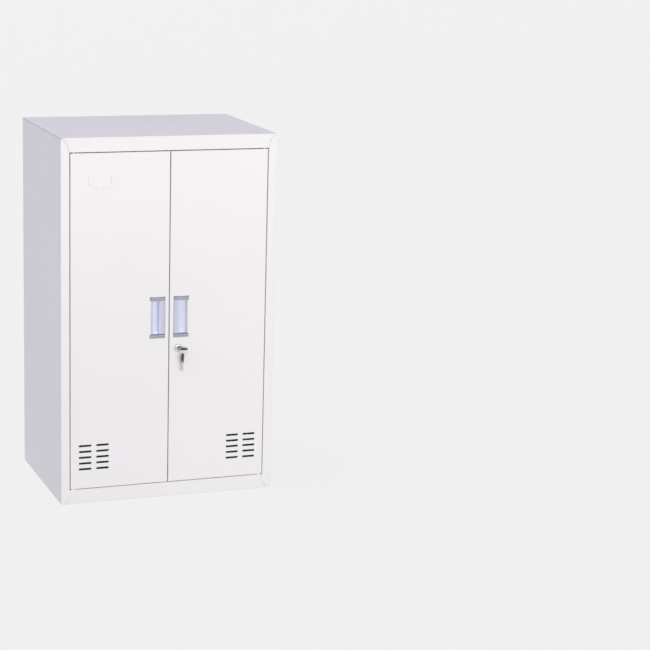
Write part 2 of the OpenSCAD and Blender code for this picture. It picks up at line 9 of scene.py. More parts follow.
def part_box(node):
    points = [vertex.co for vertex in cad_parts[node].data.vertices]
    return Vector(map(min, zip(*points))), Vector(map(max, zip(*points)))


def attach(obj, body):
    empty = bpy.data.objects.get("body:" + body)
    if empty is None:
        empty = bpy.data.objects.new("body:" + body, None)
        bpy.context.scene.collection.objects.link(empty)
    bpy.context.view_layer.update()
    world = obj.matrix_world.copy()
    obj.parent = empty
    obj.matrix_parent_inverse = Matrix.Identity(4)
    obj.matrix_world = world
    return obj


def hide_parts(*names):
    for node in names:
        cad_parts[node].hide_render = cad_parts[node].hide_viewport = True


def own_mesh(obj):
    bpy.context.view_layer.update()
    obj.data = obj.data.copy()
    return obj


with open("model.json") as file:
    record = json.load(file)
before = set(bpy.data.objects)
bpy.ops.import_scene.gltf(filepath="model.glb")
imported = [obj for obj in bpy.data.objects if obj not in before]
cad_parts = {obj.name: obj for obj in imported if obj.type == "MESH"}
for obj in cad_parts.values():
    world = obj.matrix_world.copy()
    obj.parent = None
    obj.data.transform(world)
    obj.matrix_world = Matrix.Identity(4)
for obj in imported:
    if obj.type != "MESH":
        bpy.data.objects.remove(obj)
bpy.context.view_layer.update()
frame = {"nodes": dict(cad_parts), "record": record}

nodes = frame["nodes"]
scene = bpy.context.scene
MM = 0.001
body_of_node = {}
for body, members in frame["record"]["behaviour"]["bodies"].items():
    for member in members:
        body_of_node[member] = body


# ------------------------------------------------------------------ materials

class Mat:
    """A node material with a few short helpers."""

    def __init__(self, name):
        self.m = bpy.data.materials.new(name)
        self.m.use_nodes = True
        self.t = self.m.node_tree
        self.t.nodes.clear()
        self.out = self.t.nodes.new("ShaderNodeOutputMaterial")
        self.p = self.t.nodes.new("ShaderNodeBsdfPrincipled")
        self.t.links.new(self.p.outputs[0], self.out.inputs[0])
        self.geo = self.t.nodes.new("ShaderNodeTexCoord")
        self.bump = None

    def set(self, **kw):
        for k, v in kw.items():
            self.p.inputs[k.replace("_", " ")].default_value = v
        return self

    def coords(self, scale=(1, 1, 1)):
        mp = self.t.nodes.new("ShaderNodeMapping")
        mp.inputs["Scale"].default_value = scale
        self.t.links.new(self.geo.outputs["Object"], mp.inputs[0])
        return mp.outputs[0]

    def axis(self, index):
        s = self.t.nodes.new("ShaderNodeSeparateXYZ")
        self.t.links.new(self.geo.outputs["Object"], s.inputs[0])
        return s.outputs[index]

    def facing(self, index):
        """One component of the surface's own normal, in the piece's coordinates."""
        s = self.t.nodes.new("ShaderNodeSeparateXYZ")
        self.t.links.new(self.geo.outputs["Normal"], s.inputs[0])
        return s.outputs[index]

    def math(self, op, a, b=None):
        n = self.t.nodes.new("ShaderNodeMath")
        n.operation = op
        for sock, v in ((n.inputs[0], a), (n.inputs[1], b)):
            if v is None:
                continue
            if hasattr(v, "is_linked"):
                self.t.links.new(v, sock)
            else:
                sock.default_value = v
        return n.outputs[0]

    def noise(self, scale, detail=2.0, rough=0.5, stretch=(1, 1, 1), lacunarity=2.0):
        n = self.t.nodes.new("ShaderNodeTexNoise")
        n.inputs["Scale"].default_value = scale
        n.inputs["Detail"].default_value = detail
        n.inputs["Roughness"].default_value = rough
        n.inputs["Lacunarity"].default_value = lacunarity
        self.t.links.new(self.coords(stretch), n.inputs["Vector"])
        return n.outputs["Fac"]

    def voronoi(self, scale, stretch=(1, 1, 1)):
        n = self.t.nodes.new("ShaderNodeTexVoronoi")
        n.inputs["Scale"].default_value = scale
        self.t.links.new(self.coords(stretch), n.inputs["Vector"])
        return n.outputs["Distance"]

    def ramp(self, fac, stops):
        r = self.t.nodes.new("ShaderNodeValToRGB")
        while len(r.color_ramp.elements) < len(stops):
            r.color_ramp.elements.new(0.5)
        for e, (pos, col) in zip(r.color_ramp.elements, stops):
            e.position = pos
            e.color = col if len(col) == 4 else (*col, 1)
        self.t.links.new(fac, r.inputs[0])
        return r.outputs[0]

    def span(self, fac, low, high, a=0.3, b=0.7):
        r = self.t.nodes.new("ShaderNodeMapRange")
        r.inputs["From Min"].default_value = a
        r.inputs["From Max"].default_value = b
        r.inputs["To Min"].default_value = low
        r.inputs["To Max"].default_value = high
        self.t.links.new(fac, r.inputs["Value"])
        return r.outputs[0]

    def mix(self, fac, a, b, mode="MIX"):
        n = self.t.nodes.new("ShaderNodeMix")
        n.data_type = "RGBA"
        n.blend_type = mode
        for sock, v in ((n.inputs[0], fac), (n.inputs[6], a), (n.inputs[7], b)):
            if hasattr(v, "is_linked"):
                self.t.links.new(v, sock)
            else:
                sock.default_value = v if not isinstance(v, tuple) else (*v[:3], 1)
        return n.outputs[2]

    def to(self, socket, value):
        self.t.links.new(value, self.p.inputs[socket])
        return self

    def height(self, fac, depth_mm, strength=1.0):
        b = self.t.nodes.new("ShaderNodeBump")
        b.inputs["Distance"].default_value = depth_mm * MM
        b.inputs["Strength"].default_value = strength
        self.t.links.new(fac, b.inputs["Height"])
        if self.bump is not None:
            self.t.links.new(self.bump, b.inputs["Normal"])
        self.bump = b.outputs[0]
        self.t.links.new(self.bump, self.p.inputs["Normal"])
        return self


def powder_coat(name, light, dark, rough=(0.34, 0.44), peel=0.03):
    """Semi-gloss powder coat: faint broad tone, fine specks, an orange-peel surface."""
    m = Mat(name)
    col = m.mix(m.span(m.noise(2.3, 3, 0.5), 0, 1, 0.35, 0.65), dark, light)
    speck = m.ramp(m.voronoi(420), [(0.0, (0.965, 0.965, 0.965)), (0.22, (1, 1, 1))])
    col = m.mix(1.0, col, speck, "MULTIPLY")
    m.to("Base Color", col)
    m.to("Roughness", m.span(m.noise(35, 4, 0.6), rough[0], rough[1]))
    m.height(m.noise(210, 2, 0.5), peel)
    m.height(m.noise(900, 2, 0.55), peel * 0.3)
    m.set(IOR=1.5)
    return m.m


def moulded(name, light, dark, rough, grain=0.02, spec=0.5, **kw):
    m = Mat(name)
    col = m.mix(m.span(m.noise(60, 3, 0.6), 0, 1), dark, light)
    m.to("Base Color", col)
    m.to("Roughness", m.span(m.noise(220, 3, 0.6), rough[0], rough[1]))
    m.height(m.noise(1400, 2, 0.6), grain)
    m.height(m.noise(90, 2, 0.5), grain * 0.7)
    m.set(IOR=1.49, Specular_IOR_Level=spec, **kw)
    return m.m


def metal(name, light, dark, rough, streak=(1, 1, 1), scale=300, bump=0.006):
    m = Mat(name)
    n = m.noise(scale, 4, 0.65, streak)
    m.to("Base Color", m.mix(m.span(n, 0, 1), dark, light))
    m.to("Roughness", m.span(m.noise(scale * 1.7, 3, 0.6, streak), rough[0], rough[1]))
    m.height(n, bump)
    m.set(Metallic=1.0)
    return m.m


def frosted(name):
    """Bluish translucent plastic of the pulls, with faint flow lines along its length. Its colour is lightest over the
    scoop, which is painted light against the scoop's own shade, and darker and cooler at both long edges."""
    m = Mat(name)
    across = m.math("ABSOLUTE", m.axis(0))
    # painted light: the scoop's band is much lighter than the rest of the pull, to offset the scoop's own shade
    painted_light_bands = m.ramp(m.span(across, 0, 1, 0.0116, 0.0516), [
        (0.0, (0.56, 0.57, 0.70)), (0.08, (0.60, 0.61, 0.73)), (0.20, (0.62, 0.64, 0.76)), (0.38, (0.63, 0.655, 0.79)),
        (0.43, (0.70, 0.72, 0.84)), (0.50, (0.93, 0.955, 1.0)), (0.78, (0.90, 0.93, 1.0)), (1.0, (0.66, 0.70, 0.86))])
    flow = m.ramp(m.noise(90, 3, 0.5, (2.2, 2.2, 0.06)), [(0.3, (0.965, 0.97, 0.98)), (0.7, (1, 1, 1))])
    m.to("Base Color", m.mix(1.0, painted_light_bands, flow, "MULTIPLY"))
    m.to("Roughness", m.span(m.noise(260, 3, 0.6), 0.20, 0.28))
    m.height(m.noise(170, 2, 0.5, (2.0, 2.0, 0.05)), 0.02)
    m.height(m.noise(1500, 2, 0.6), 0.004)
    # painted light: an emission on the scoop's own front surface only. It stands in for light scattered through the
    # translucent wall and brightens the scoop's shade
    glow = m.ramp(m.span(across, 0, 1, 0.0116, 0.0516), [
        (0.10, (0, 0, 0)), (0.17, (0.165, 0.205, 0.30)), (0.38, (0.165, 0.205, 0.30)), (0.44, (0.115, 0.153, 0.255)),
        (0.55, (0.092, 0.122, 0.204)),
        (0.80, (0.077, 0.102, 0.170)), (0.93, (0.019, 0.026, 0.043)), (1.0, (0, 0, 0))])
    deep = m.span(m.axis(1), 0, 1, -0.2240, -0.2225)
    facing = m.span(m.facing(1), 1, 0, -0.30, -0.05)
    m.to("Emission Color", m.mix(m.math("MULTIPLY", deep, facing), (0, 0, 0), glow))
    m.set(IOR=1.49, Subsurface_Weight=0.55, Subsurface_Scale=0.012, Coat_Weight=0.3, Coat_Roughness=0.1,
          Emission_Strength=1.0)
    m.p.inputs["Subsurface Radius"].default_value = (0.8, 0.9, 1.0)
    return m.m


def capped(name):
    """Glossy grey plastic of the handle's end plates. Its colour is light along each plate's lower edge and much darker
    towards its upper edge, a painted reflection of the bright floor below and the dim surroundings above.
    """
    m = Mat(name)
    rise = m.math("FRACT", m.math("DIVIDE", m.math("SUBTRACT", m.axis(2), 0.4480), 0.1038))
    # painted reflection: light along each plate's lower edge, dark along its upper edge
    painted_light_bands = m.ramp(m.span(rise, 0, 1, 0.0048, 0.1204), [
        (0.0, (0.54, 0.54, 0.60)), (0.28, (0.40, 0.40, 0.465)), (0.44, (0.32, 0.32, 0.385)), (0.56, (0.175, 0.175, 0.24)),
        (1.0, (0.155, 0.155, 0.22))])
    cloud = m.ramp(m.noise(60, 3, 0.6), [(0.3, (0.94, 0.94, 0.95)), (0.7, (1, 1, 1))])
    m.to("Base Color", m.mix(1.0, painted_light_bands, cloud, "MULTIPLY"))
    m.to("Roughness", m.span(m.noise(220, 3, 0.6), 0.20, 0.28))
    m.height(m.noise(1400, 2, 0.6), 0.010)
    m.height(m.noise(90, 2, 0.5), 0.007)
    m.set(IOR=1.49, Coat_Weight=0.8, Coat_Roughness=0.08)
    return m.m


def plated(name):
    """Bright plating, darker over the plug face. It has painted shade in the joint round the plug and a painted dark
    reflection on the bezel's outer rim.
    """
    m = Mat(name)
    n = m.noise(420, 4, 0.65)
    base = m.mix(m.span(n, 0, 1), (0.74, 0.74, 0.76), (0.86, 0.86, 0.87))
    dx = m.math("SUBTRACT", m.axis(0), 0.0265)
    dz = m.math("SUBTRACT", m.axis(2), 0.4190)
    r = m.math("SQRT", m.math("ADD", m.math("MULTIPLY", dx, dx), m.math("MULTIPLY", dz, dz)))
    # painted shade in the joint round the plug, and a painted dark reflection on the bezel's outer rim
    rings = m.ramp(m.span(r, 0, 1, 0.0, 0.0108), [
        (0.0, (0.34, 0.34, 0.35)), (0.40, (0.40, 0.40, 0.41)), (0.50, (0.28, 0.28, 0.29)), (0.56, (1, 1, 1)),
        (0.83, (1, 1, 1)), (0.89, (0.45, 0.45, 0.47)), (0.96, (0.26, 0.26, 0.28))])
    m.to("Base Color", m.mix(1.0, base, rings, "MULTIPLY"))
    m.to("Roughness", m.span(m.noise(714, 3, 0.6), 0.12, 0.22))
    m.height(n, 0.002)
    m.set(Metallic=1.0)
    return m.m


PAINT = powder_coat("white_powder_coat", (0.885, 0.878, 0.878), (0.865, 0.858, 0.858))
# the same white paint as a slightly darker copy for the inside surfaces, a faint painted shade, and a little smoother
INNER = powder_coat("white_powder_coat_shaded_copy", (0.87, 0.865, 0.865), (0.85, 0.845, 0.845), (0.30, 0.40))
NYLON = moulded("white_nylon", (0.86, 0.86, 0.84), (0.80, 0.80, 0.78), (0.42, 0.55))
ZINC = metal("zinc_plated_steel", (0.74, 0.74, 0.76), (0.56, 0.57, 0.60), (0.30, 0.48), scale=180)
CHROME = plated("chrome_plating")
KEYSTEEL = metal("nickel_key_steel", (0.80, 0.78, 0.72), (0.64, 0.62, 0.56), (0.22, 0.36), (1, 1, 0.1), 500, 0.004)
BLACK = moulded("black_key_plastic", (0.026, 0.025, 0.032), (0.013, 0.013, 0.017), (0.24, 0.38), 0.03)
HANDLE = frosted("bluish_handle_plastic")
CAP = capped("grey_cap_plastic")

LOOK = {}
for slot_name, material in (("white_paint", PAINT), ("inner_paint", INNER), ("white_nylon", NYLON),
                            ("zinc_steel", ZINC), ("chrome_lock", CHROME), ("key_steel", KEYSTEEL),
                            ("black_plastic", BLACK), ("handle_plastic", HANDLE), ("cap_plastic", CAP)):
    LOOK[slot_name] = material
slot_of = {s["node"]: s["material_slot"] for s in frame["record"]["subparts"]}


# ------------------------------------------------------------------ mesh tools (millimetres in, metres out)

def mesh_of(name, verts, faces):
    me = bpy.data.meshes.new(name)
    me.from_pydata([(p[0] * MM, p[1] * MM, p[2] * MM) for p in verts], [], faces)
    bm = bmesh.new()
    bm.from_mesh(me)
    bmesh.ops.remove_doubles(bm, verts=bm.verts, dist=1e-7)
    bmesh.ops.recalc_face_normals(bm, faces=bm.faces)
    bm.to_mesh(me)
    bm.free()
    return me


def evaluated(me, *setup):
    """The mesh with modifiers applied; each setup is a function given the temporary object."""
    tmp = bpy.data.objects.new("tmp", me)
    scene.collection.objects.link(tmp)
    for s in setup:
        s(tmp)
    out = bpy.data.meshes.new_from_object(tmp.evaluated_get(bpy.context.evaluated_depsgraph_get()))
    bpy.data.objects.remove(tmp)
    return out


def smooth_shade(me, angle=32, weigh=False):
    for poly in me.polygons:
        poly.use_smooth = True
    me.set_sharp_from_angle(angle=math.radians(angle))
    if not weigh:
        return me

    def weights(ob):
        mod = ob.modifiers.new("weights", "WEIGHTED_NORMAL")
        mod.mode = "FACE_AREA"
        mod.weight = 100
        mod.keep_sharp = True
    return evaluated(me, weights)


def combine(op, a, b):
    """Exact boolean of two closed meshes."""
    other = bpy.data.objects.new("other", b)
    scene.collection.objects.link(other)

    def add(ob):
        mod = ob.modifiers.new("cut", "BOOLEAN")
        mod.operation = op
        mod.solver = "EXACT"
        mod.object = other
    out = evaluated(a, add)
    bpy.data.objects.remove(other)
    return out


def joined(name, *meshes):
    bm = bmesh.new()
    for me in meshes:
        bm.from_mesh(me)
    out = bpy.data.meshes.new(name)
    bm.to_mesh(out)
    bm.free()
    return out


def moved(me, matrix):
    out = me.copy()
    out.transform(matrix)
    if matrix.determinant() < 0:
        out.flip_normals()
    return out


def mirrored(me):
    return moved(me, Matrix.Scale(-1, 4, (1, 0, 0)))


def loft(name, rings, ends=True):
    n = len(rings[0])
    verts = [p for r in rings for p in r]
    faces = []
    for i in range(len(rings) - 1):
        for k in range(n):
            a, b = i * n + k, i * n + (k + 1) % n
            faces.append((a, b, b + n, a + n))
    if ends:
        faces.append(tuple(range(n - 1, -1, -1)))
        faces.append(tuple(range((len(rings) - 1) * n, len(rings) * n)))
    return mesh_of(name, verts, faces)


def lathe(name, profile, segs=48, closed=False):
    """Profile of (radius, height) about local Z; on-axis points become poles."""
    verts, rows, faces = [], [], []
    for r, h in profile:
        if r < 1e-6:
            rows.append([len(verts)])
            verts.append((0, 0, h))
        else:
            rows.append(list(range(len(verts), len(verts) + segs)))
            for k in range(segs):
                a = 2 * math.pi * k / segs
                verts.append((r * math.cos(a), r * math.sin(a), h))
    pairs = list(zip(rows, rows[1:])) + ([(rows[-1], rows[0])] if closed else [])
    for p, q in pairs:
        for k in range(segs):
            j = (k + 1) % segs
            if len(p) == 1 and len(q) == 1:
                continue
            if len(p) == 1:
                faces.append((p[0], q[j], q[k]))
            elif len(q) == 1:
                faces.append((p[k], p[j], q[0]))
            else:
                faces.append((p[k], p[j], q[j], q[k]))
    return mesh_of(name, verts, faces)


def tube(name, path, radius, sides=12, squeeze=None, ends=True):
    """Round bar along a path; radius is a number or one value for each point."""
    path = [Vector(p) for p in path]
    n = len(path)
    rad = radius if isinstance(radius, (list, tuple)) else [radius] * n
    tang = [(path[min(i + 1, n - 1)] - path[max(i - 1, 0)]).normalized() for i in range(n)]
    ref = Vector((0, 0, 1)) if abs(tang[0].z) < 0.9 else Vector((1, 0, 0))
    u = (ref - tang[0] * ref.dot(tang[0])).normalized()
    rings = []
    for i in range(n):
        u = (u - tang[i] * u.dot(tang[i])).normalized()
        v = tang[i].cross(u)
        if squeeze:
            su = squeeze[0](path[i], u, v)
            rings.append([tuple(path[i] + su[0] * math.cos(2 * math.pi * k / sides) + su[1] * math.sin(2 * math.pi * k / sides))
                          for k in range(sides)])
        else:
            rings.append([tuple(path[i] + (u * math.cos(2 * math.pi * k / sides) + v * math.sin(2 * math.pi * k / sides)) * rad[i])
                          for k in range(sides)])
    return loft(name, rings, ends)


def block(name, lo, hi, edge=0.0, segments=2):
    (a, b, c), (d, e, f) = lo, hi
    verts = [(a, b, c), (d, b, c), (d, e, c), (a, e, c), (a, b, f), (d, b, f), (d, e, f), (a, e, f)]
    me = mesh_of(name, verts, [(0, 3, 2, 1), (4, 5, 6, 7), (0, 1, 5, 4), (1, 2, 6, 5), (2, 3, 7, 6), (3, 0, 4, 7)])
    if edge:
        bm = bmesh.new()
        bm.from_mesh(me)
        bmesh.ops.bevel(bm, geom=list(bm.edges), offset=edge * MM, segments=segments, profile=0.5, affect="EDGES")
        bm.to_mesh(me)
        bm.free()
    return me


def slab_of(name, outline, z0, z1):
    """Closed outline in the XY plane, given thickness along Z."""
    return loft(name, [[(x, y, z) for x, y in outline] for z in (z0, z1)])


def rounded_line(points, corners=(), sub=4):
    """A smooth closed outline through points; those listed in corners stay sharp."""
    n = len(points)
    pts = [np.array(p, float) for p in points]
    out = []
    for i in range(n):
        a, b = pts[i], pts[(i + 1) % n]
        seg = b - a
        length = np.linalg.norm(seg)
        if length < 1e-9:
            continue

        def tangent(j, own):
            if j % n in corners:
                return own / np.linalg.norm(own)
            d = (pts[(j + 1) % n] - pts[j % n]) / max(1e-9, np.linalg.norm(pts[(j + 1) % n] - pts[j % n])) \
                + (pts[j % n] - pts[(j - 1) % n]) / max(1e-9, np.linalg.norm(pts[j % n] - pts[(j - 1) % n]))
            return d / max(1e-9, np.linalg.norm(d))
        ta, tb = tangent(i, seg) * length, tangent(i + 1, seg) * length
        straight = i % n in corners and (i + 1) % n in corners
        steps = 1 if straight else sub
        for k in range(steps):
            s = k / steps
            h = (2 * s**3 - 3 * s**2 + 1, s**3 - 2 * s**2 + s, -2 * s**3 + 3 * s**2, s**3 - s**2)
            out.append(tuple(h[0] * a + h[1] * ta + h[2] * b + h[3] * tb))
    return out


def piece(name, me, node, *more):
    """A finished mesh as the visible piece for a CAD node (and perhaps others of the same body)."""
    ob = bpy.data.objects.new(name, me)
    scene.collection.objects.link(ob)
    me.materials.clear()
    me.materials.append(LOOK[slot_of[node]])
    for poly in me.polygons:
        poly.material_index = 0
    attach(ob, body_of_node[node])
    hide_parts(node, *more)
    done.update((node, *more))
    lit.objects.link(ob)
    return ob


done = set()
# the lamps light the cabinet only, so that the floor stays an even pale grey from every side
lit = bpy.data.collections.new("lit")


# ------------------------------------------------------------------ sheet metal with rounded folds

def clean_bmesh(node, weld=3e-6):
    bm = bmesh.new()
    bm.from_mesh(nodes[node].data)
    bmesh.ops.remove_doubles(bm, verts=bm.verts, dist=weld)
    bmesh.ops.dissolve_degenerate(bm, dist=1e-6, edges=bm.edges)
    bmesh.ops.dissolve_limit(bm, angle_limit=math.radians(0.4), use_dissolve_boundaries=False,
                             verts=bm.verts, edges=bm.edges)
    bm.normal_update()
    return bm


def room(face, edge):
    """Distance across a face from one of its edges to the nearest other side."""
    loop = next(l for l in face.loops if l.edge is edge)
    a, b = loop.vert.co, loop.link_loop_next.vert.co
    d = (b - a).normalized()
    w = face.normal.cross(d)
    best = 1.0
    for s in (0.04, 0.25, 0.5, 0.75, 0.96):
        p = a + (b - a) * s
        for l in face.loops:
            if l.edge is edge:
                continue
            q, r = l.vert.co - p, l.link_loop_next.vert.co - p
            x0, x1 = q.dot(d), r.dot(d)
            if abs(x0 - x1) < 1e-9 or not -1e-6 <= x0 / (x0 - x1) <= 1 + 1e-6:
                continue
            y = q.dot(w) + x0 / (x0 - x1) * (r.dot(w) - q.dot(w))
            if y > 1e-6:
                best = min(best, y)
    return best


def softened(node, bend, inner=0.0, cut=0.0, short=0.0, thin=0.0025, segments=3, angle=24):
    """A copy of a CAD node with its folds rounded: bend outside, inner inside a fold, cut on the sheared edges (mm)."""
    bm = clean_bmesh(node)
    layer = bm.edges.layers.float.get("bevel_weight_edge") or bm.edges.layers.float.new("bevel_weight_edge")
    top = max(bend, inner, cut)
    for e in bm.edges:
        if len(e.link_faces) != 2 or e.calc_length() < short:
            continue
        fold = e.calc_face_angle_signed(0)
        if abs(fold) < math.radians(angle):
            continue
        if min(room(f, e) for f in e.link_faces) < thin:
            w = cut if fold > 0 else 0
        else:
            w = bend if fold > 0 else inner
        e[layer] = w / top
    me = bpy.data.meshes.new(node + "_soft")
    bm.to_mesh(me)
    bm.free()

    def bevel(ob):
        mod = ob.modifiers.new("bevel", "BEVEL")
        mod.width = top * MM
        mod.limit_method = "WEIGHT"
        mod.segments = segments
        mod.use_clamp_overlap = False
        mod.miter_outer = "MITER_ARC"
        mod.harden_normals = False
    out = smooth_shade(evaluated(me, bevel), 34, weigh=True)
    out.name = node + "_mesh"
    return out


# outside bend, inside bend, sheared edge, shortest edge that is rounded
FOLDED = {"left_side_panel": (1.2, 0.0, 0.25, 0.0012), "right_side_panel": (1.2, 0.3, 0.0, 0.0012),
          "top_panel": (1.2, 0.0, 0.0, 0.0012), "bottom_panel": (0.95, 0.0, 0.0, 0.0012),
          "upper_shelf": (1.2, 0.0, 0.25, 0.0), "middle_shelf": (1.2, 0.0, 0.25, 0.0), "lower_shelf": (1.2, 0.0, 0.25, 0.0),
          "left_door_panel": (1.2, 0.3, 0.25, 0.0012), "right_door_panel": (1.2, 0.3, 0.25, 0.0012),
          "left_door_stiffener": (1.2, 0.3, 0.25, 0.0), "right_door_stiffener": (1.2, 0.3, 0.25, 0.0)}
for name, radii in FOLDED.items():
    piece(name + "_sheet", softened(name, *radii), name)


# ------------------------------------------------------------------ pull handles and their end caps

FRONT = -225.0
HANDLE_X, HANDLE_W = 11.6, 43.0
HANDLE_LOW, HANDLE_HIGH, CAP_H = 448.5, 564.3, 12.0

GRIP = [(0, 0), (0, -1.2), (1, -1.8), (5, -1.92), (9, -1.9), (13, -1.6), (15.8, -0.8), (17, 0.6), (16.6, 1.8), (13, 2.4), (8.5, 3.4),
        (6, 5.6), (5, 10.5), (6.5, 13.2), (10, 14.6), (15, 14.8), (20, 13.6), (25, 11.2), (30, 8), (34.5, 4.2),
        (37, 1), (38, -1.5), (39.2, -1.7), (40, -1), (40, 0), (38.8, 0), (38.8, 2.5), (36.2, 5.6), (31.4, 9.7),
        (26.2, 13), (20.8, 15.5), (15.2, 16.8), (9.4, 16.6), (5, 14.8), (3, 11.4), (3, 0)]
GRIP_SHARP = (0, 24, 25, 26, 35)


def soft_min(a, b, k):
    return -k * math.log(math.exp(-a / k) + math.exp(-b / k))


def handle_mesh():
    low, high = HANDLE_LOW + CAP_H, HANDLE_HIGH - CAP_H
    # the scoop's own wall, which rises to the front at both ends
    outline = rounded_line(GRIP, GRIP_SHARP, 4)
    first = outline.index(min(outline, key=lambda p: math.hypot(p[0] - 16.6, p[1] - 1.8)))
    last = outline.index(min(outline, key=lambda p: math.hypot(p[0] - 37, p[1] - 1)))
    steps = [0, 0.5, 1, 1.6, 2.2, 2.9, 3.6, 4.3, 5, 5.8, 6.6, 7.4, 8.3, 9.4, 11, 13.5, 18, 25, 34]
    levels = [low + s for s in steps] + [(low + high) / 2] + [high - s for s in reversed(steps)]
    rings = []
    for z in levels:
        end = min(z - low, high - z)
        floor_y = 2.9 + 1.66 * end
        ring = []
        for i, (x, y) in enumerate(outline):
            if first <= i <= last and y > 1.6:
                y = min(y, max(1.6, soft_min(y, floor_y, 0.7)))
            ring.append((HANDLE_X + x, FRONT + y, z))
        rings.append(ring)
    return smooth_shade(loft("handle", rings), 40)


def cap_plate(upper):
    """Plate with a crowned front; the corners of its upper edge stand up a little."""
    z0 = HANDLE_HIGH - CAP_H if upper else HANDLE_LOW
    xs = [0, 0.12, 0.35, 0.7, 1.1, 1.6, 2.2, 3, 4, 5.5, 7.5, 10, 13, 17, 21.5]
    xs = xs + [HANDLE_W - x for x in reversed(xs[:-1])]
    cut = [0.0, 0.03, 0.08, 0.14, 0.22, 0.33, 0.45, 0.5, 0.55, 0.67, 0.78, 0.86, 0.92, 0.97, 1.0]
    rings = []
    for x in xs:
        e = min(x, HANDLE_W - x)
        side = abs(2 * x / HANDLE_W - 1)
        dip = 1.35 * (1 - side ** 3.2)
        r = 1.9
        corner = r - math.sqrt(max(0, r * r - max(0, r - e) ** 2))
        lo = z0 + (0 if upper else corner)
        hi = z0 + CAP_H - dip - (corner if upper else 0.3 * corner)
        thick = 0.35 + 1.85 * math.sqrt(max(0.0, 1 - max(0, 1 - e / 1.3) ** 2))
        h = hi - lo
        front = []
        for s in cut:
            edge = math.sqrt(max(0.0, 1 - max(0, 1 - min(s, 1 - s) * h / 1.1) ** 2))
            crown = 0.34 + 0.66 * (1 - (2 * s - 1) ** 2)
            front.append((HANDLE_X + x, FRONT - max(0.0, thick * crown * edge), lo + h * s))
        back = [(HANDLE_X + x, FRONT + 0.02, hi), (HANDLE_X + x, FRONT + 0.02, lo)]
        rings.append(front + back)
    return loft("plate", rings)


def caps_mesh():
    parts = []
    for upper in (True, False):
        z0 = HANDLE_HIGH - CAP_H if upper else HANDLE_LOW
        lo, hi = (z0 + 0.01, z0 + CAP_H - 5) if upper else (z0 + 5, z0 + CAP_H - 0.01)
        boss = block("boss", (HANDLE_X + 3, FRONT - 0.1, lo), (HANDLE_X + HANDLE_W - 4.2, FRONT + 15, hi), 0.5)
        parts.append(combine("UNION", cap_plate(upper), boss))
    return smooth_shade(joined("caps", *parts), 38)


handle = handle_mesh()
caps = caps_mesh()
piece("right_handle_moulding", handle, "right_handle")
piece("left_handle_moulding", mirrored(handle), "left_handle")
piece("right_handle_caps", caps, "right_handle_end_caps")
piece("left_handle_caps", mirrored(caps), "left_handle_end_caps")


# ------------------------------------------------------------------ keys

LOCK_X, LOCK_Z, KEY_Y = 26.5, 419.0, FRONT - 17
HOLE_X, HEAD_T = 17.0, 5.0
RING_R, RING_DROP, RING_DIR = 11.0, 6.9, math.radians(136)
ring_half = math.sqrt(RING_R ** 2 - RING_DROP ** 2)
ring_in = ring_half - 0.95
ring_mid = (LOCK_X + HOLE_X + ring_in * math.cos(RING_DIR), KEY_Y + ring_in * math.sin(RING_DIR))
RING_Z = LOCK_Z - RING_DROP
slide = math.radians(12)
spare_at = (ring_mid[0] + math.cos(RING_DIR) * RING_R * math.sin(slide),
            ring_mid[1] + math.sin(RING_DIR) * RING_R * math.sin(slide),
            RING_Z - RING_R * math.cos(slide) - 1.1 - HOLE_X)


def capsule(inset, n=20):
    """Outline round two circles: the pivot end and the wider tip."""
    r0, r1, gap = 5.2 - inset, 8.2 - inset, 13.9
    tilt = math.asin((8.2 - 5.2) / gap)
    out = []
    for k in range(n + 1):
        a = -math.pi / 2 - tilt + (math.pi + 2 * tilt) * k / n
        out.append((gap + r1 * math.cos(a), r1 * math.sin(a)))
    for k in range(n + 1):
        a = math.pi / 2 + tilt + (math.pi - 2 * tilt) * k / n
        out.append((r0 * math.cos(a), r0 * math.sin(a)))
    return out


def key_head_mesh():
    def level(x):
        s = min(1.0, max(0.0, (x - 7.5) / 13.0))
        return 1 - 0.34 * s * s * (3 - 2 * s)

    half = HEAD_T / 2
    shell = [(4.6, 0.0), (3.4, 0.0), (2.6, 0.0), (2.0, 0.05), (1.5, 0.14), (1.0, 0.3), (0.6, 0.52), (0.3, 0.78), (0.1, 1.08), (0.0, 1.5)]
    rings = []
    for inset, drop in shell:
        rings.append([(x, y, (half - drop) * level(x)) for x, y in capsule(inset)])
    for inset, drop in reversed(shell):
        rings.append([(x, y, -(half - drop) * level(x)) for x, y in capsule(inset)])
    me = loft("head", rings)
    # thumb dimples on both faces
    for s in (1, -1):
        dimple = lathe("dimple", [(0, -3.4), (3.0, -3.2), (4.6, -2.6), (5.6, -1.2), (5.6, 3), (0, 3)], 40)
        dimple.transform(Matrix.Translation((9.2 * MM, 0, s * 5.05 * MM)) @ Matrix.Scale(s, 4, (0, 0, 1)))
        if s < 0:
            dimple.flip_normals()
        me = combine("DIFFERENCE", me, dimple)
    slot_cut = lathe("slot", [(0, -1.15), (7.6, -1.15), (7.6, 1.15), (0, 1.15)], 48)
    me = combine("DIFFERENCE", me, slot_cut)
    for x, r, flare in ((0, 1.3, 0.25), (HOLE_X, 3.5, 0.45)):
        t = half * level(x)
        hole = lathe("hole", [(0, -6), (r + flare + 3.5, -6), (r + flare, -t), (r, -t + flare), (r, t - flare), (r + flare, t),
                              (r + flare + 3.5, 6), (0, 6)], 40)
        hole.transform(Matrix.Translation((x * MM, 0, 0)))
        me = combine("DIFFERENCE", me, hole)
    return smooth_shade(me, 36)


